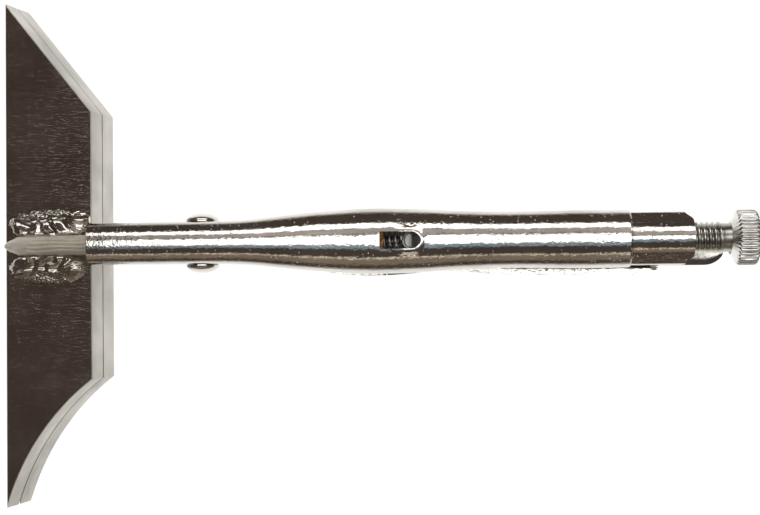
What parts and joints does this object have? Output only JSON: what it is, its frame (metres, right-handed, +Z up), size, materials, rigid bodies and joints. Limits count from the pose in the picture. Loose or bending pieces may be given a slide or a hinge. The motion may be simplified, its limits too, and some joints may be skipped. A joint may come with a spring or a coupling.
{
  "type": "wide-jaw locking pliers",
  "caption": "Lever-lock pliers with wide flat welded jaw plates, toggle linkage, adjusting screw with knurled knob and a release lever, for gripping and pulling sheet goods or carpet.",
  "frame": {"origin": "centre of the bounding box in plan, at the height of the lower handle's lowest point", "axes": "+X from the jaws to the adjusting knob, +Y across the tool towards the straight slanted ends of the plates, +Z up from the lower handle to the upper handle"},
  "size_m": [0.2292, 0.1578, 0.048],
  "materials": {
    "plated_handle": "bright nickel plating over lightly dimpled sheet steel",
    "plated_forging": "bright plating over a forged surface",
    "plated_plate": "mirror plating with fine scratches",
    "plated_weld": "plated rippled weld",
    "plated_rivet": "bright plating",
    "plated_lever": "bright plating on bent sheet",
    "spring_wire": "drawn spring wire",
    "screw_steel": "satin plated thread",
    "knob_steel": "satin plated straight knurl"
  },
  "bodies": {
    "upper_body": {"upper_handle": "plated_handle", "fixed_jaw": "plated_forging", "upper_jaw_plate": "plated_plate", "upper_weld_left": "plated_weld", "upper_weld_right": "plated_weld", "fixed_jaw_rivet_front": "plated_rivet", "fixed_jaw_rivet_rear": "plated_rivet", "jaw_pivot_rivet": "plated_rivet", "jaw_spring": "spring_wire"},
    "screw_body": {"adjusting_screw": "screw_steel"},
    "knob_body": {"knurled_knob": "knob_steel"},
    "jaw_body": {"movable_jaw": "plated_forging", "lower_jaw_plate": "plated_plate", "lower_weld_left": "plated_weld", "lower_weld_right": "plated_weld", "lever_pivot_rivet": "plated_rivet"},
    "lever_body": {"lower_handle": "plated_handle", "link_pivot_rivet": "plated_rivet", "release_lever_rivet": "plated_rivet"},
    "link_body": {"toggle_link": "plated_forging"},
    "release_body": {"release_lever": "plated_lever"}
  },
  "joints": [
    {"name": "jaw_pivot", "type": "hinge", "parent": "upper_body", "child": "jaw_body", "pos_m": [-0.04994, 0.0027, 0.036], "axis": [0, -1, 0], "range_deg": [0, 18], "deforming": ["jaw_spring"]},
    {"name": "lever_pivot", "type": "hinge", "parent": "jaw_body", "child": "lever_body", "pos_m": [-0.03594, 0.0027, 0.016], "axis": [0, 1, 0], "range_deg": [0, 52.5]},
    {"name": "link_pivot", "type": "hinge", "parent": "lever_body", "child": "link_body", "pos_m": [-0.00759, 0.0027, 0.02582], "axis": [0, -1, 0], "range_deg": [0, 51.5]},
    {"name": "release_lever_pivot", "type": "hinge", "parent": "lever_body", "child": "release_body", "pos_m": [0.05006, 0.0027, 0.011], "axis": [0, 1, 0], "range_deg": [0, 4]},
    {"name": "screw_travel", "type": "slide", "parent": "upper_body", "child": "screw_body", "axis": [1, 0, 0], "range_m": [0, 0.01271]},
    {"name": "screw_turn", "type": "hinge", "parent": "screw_body", "child": "knob_body", "pos_m": [0.108, 0.0027, 0.039], "axis": [1, 0, 0], "range_deg": [0, 2880]}
  ],
  "couplings": [
    {"joint": "lever_pivot", "follows": "jaw_pivot", "ratio": 2.9},
    {"joint": "link_pivot", "follows": "jaw_pivot", "ratio": 2.85},
    {"joint": "screw_travel", "follows": "screw_turn", "m_per_rad": 0.00025266}
  ]
}
